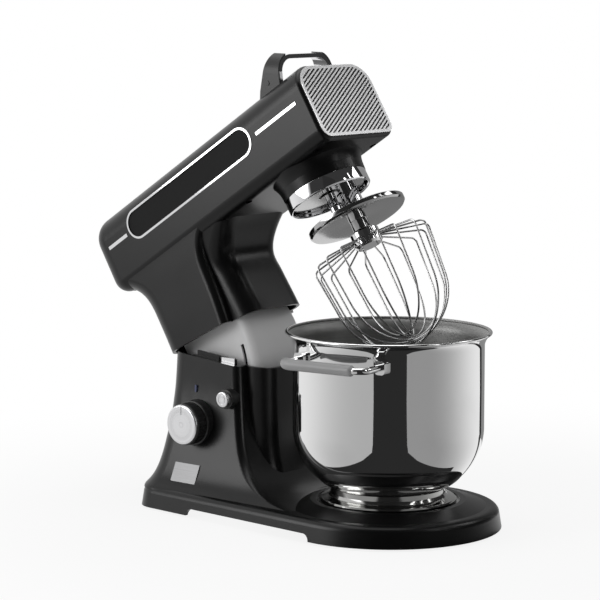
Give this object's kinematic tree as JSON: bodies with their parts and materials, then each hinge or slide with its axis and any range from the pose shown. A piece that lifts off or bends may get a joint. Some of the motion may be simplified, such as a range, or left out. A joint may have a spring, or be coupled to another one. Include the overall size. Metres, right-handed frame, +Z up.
{
  "type": "stand mixer",
  "caption": "Tilt-head stand mixer with its head raised: bowl on a bayonet seat, planetary drive, balloon whisk, speed dial and head-release button.",
  "frame": {"origin": "the bowl's upright axis where it meets the table", "axes": "+Z up, +X from the column towards the nose, -Y the side with the dial; the head is stored tilted up"},
  "size_m": [0.5646, 0.2867, 0.5541],
  "materials": {
    "black_paint": "die cast, satin black paint",
    "black_plastic": "matt black",
    "grey_plastic": "matt mid grey",
    "polished_chrome": "polished",
    "satin_metal": "satin silver",
    "polished_steel": "polished",
    "steel": "bright",
    "cast_aluminium": "satin",
    "gear_plastic": "natural nylon",
    "bronze": "sintered",
    "black_rubber": "matt",
    "board_green": "board",
    "clear_lens": "clear"
  },
  "bodies": {
    "base": {"base_casting": "black_paint", "bottom_plate": "steel", "rubber_feet": "black_rubber", "bottom_screws": "steel", "seat_ring": "steel", "seat_screws": "steel", "hinge_pin": "steel", "cord_gland": "black_rubber", "control_board": "board_green", "dial_encoder": "black_plastic", "dial_collar": "black_plastic", "button_collar": "black_plastic", "badge_plate": "satin_metal", "indicator_lens": "clear_lens"},
    "dial": {"speed_dial": "black_plastic", "dial_cap": "satin_metal"},
    "button": {"release_button": "satin_metal"},
    "latch": {"latch_bar": "polished_chrome"},
    "bowl": {"bowl_shell": "polished_steel", "bowl_foot": "polished_steel", "handle_rod": "polished_steel", "handle_grip": "grey_plastic", "handle_brackets": "polished_steel"},
    "head": {"head_upper_shell": "black_paint", "head_lower_shell": "black_paint", "shell_screws": "steel", "hinge_bushes": "bronze", "neck_shroud": "grey_plastic", "side_panels": "black_plastic", "panel_rings": "polished_chrome", "side_trim": "polished_chrome", "nose_plate": "satin_metal", "lift_handle": "polished_chrome", "handle_covers": "black_plastic", "handle_plugs": "polished_chrome", "drip_ring": "polished_chrome", "ring_gear": "steel", "gear_frame": "cast_aluminium", "drive_bearings": "steel", "drive_belt": "black_rubber", "motor_stator": "steel", "motor_frame": "steel"},
    "armature": {"motor_rotor": "steel", "cooling_fan": "black_plastic", "motor_pulley": "cast_aluminium"},
    "countershaft": {"layshaft": "steel", "lay_pinion": "steel", "belt_pulley": "cast_aluminium"},
    "carrier": {"main_shaft": "steel", "main_gear": "gear_plastic", "planet_carrier": "polished_steel", "carrier_nut": "polished_chrome", "beater_collar": "polished_chrome", "beater_bushes": "bronze"},
    "beater": {"planet_pinion": "steel", "beater_shaft": "steel", "drive_pin": "steel", "whisk_hub": "cast_aluminium", "whisk_disc": "cast_aluminium", "whisk_wires": "steel"}
  },
  "joints": [
    {"name": "head_tilt", "type": "hinge", "parent": "base", "child": "head", "pos_m": [-0.276, 0, 0.165], "axis": [0, 1, 0], "range_deg": [0, 32]},
    {"name": "carrier_spin", "type": "hinge", "parent": "head", "child": "carrier", "pos_m": [-0.09398, 0, 0.39076], "axis": [-0.5299, 0, 0.848], "continuous": true},
    {"name": "beater_spin", "type": "hinge", "parent": "carrier", "child": "beater", "pos_m": [-0.09398, 0.03075, 0.39076], "axis": [-0.5299, 0, 0.848], "continuous": true},
    {"name": "countershaft_spin", "type": "hinge", "parent": "head", "child": "countershaft", "pos_m": [-0.16818, 0, 0.39156], "axis": [-0.5299, 0, 0.848], "continuous": true},
    {"name": "armature_spin", "type": "hinge", "parent": "head", "child": "armature", "pos_m": [-0.27631, 0, 0.30041], "axis": [-0.5299, 0, 0.848], "continuous": true},
    {"name": "speed_turn", "type": "hinge", "parent": "base", "child": "dial", "pos_m": [-0.237, -0.09, 0.107], "axis": [0, 1, 0], "range_deg": [0, 270]},
    {"name": "release_press", "type": "slide", "parent": "base", "child": "button", "axis": [0, 1, 0], "range_m": [0, 0.004], "stiffness_N_per_m": 400, "springref_m": -0.002},
    {"name": "latch_slide", "type": "slide", "parent": "base", "child": "latch", "axis": [-1, 0, 0], "range_m": [0, 0.004]},
    {"name": "bowl_twist", "type": "hinge", "parent": "base", "child": "bowl", "pos_m": [0, 0, 0.03], "axis": [0, 0, 1], "range_deg": [0, 30]}
  ],
  "couplings": [
    {"joint": "beater_spin", "follows": "carrier_spin", "ratio": -3.1579},
    {"joint": "countershaft_spin", "follows": "carrier_spin", "ratio": -4},
    {"joint": "armature_spin", "follows": "carrier_spin", "ratio": -16},
    {"joint": "latch_slide", "follows": "release_press", "ratio": 1}
  ]
}
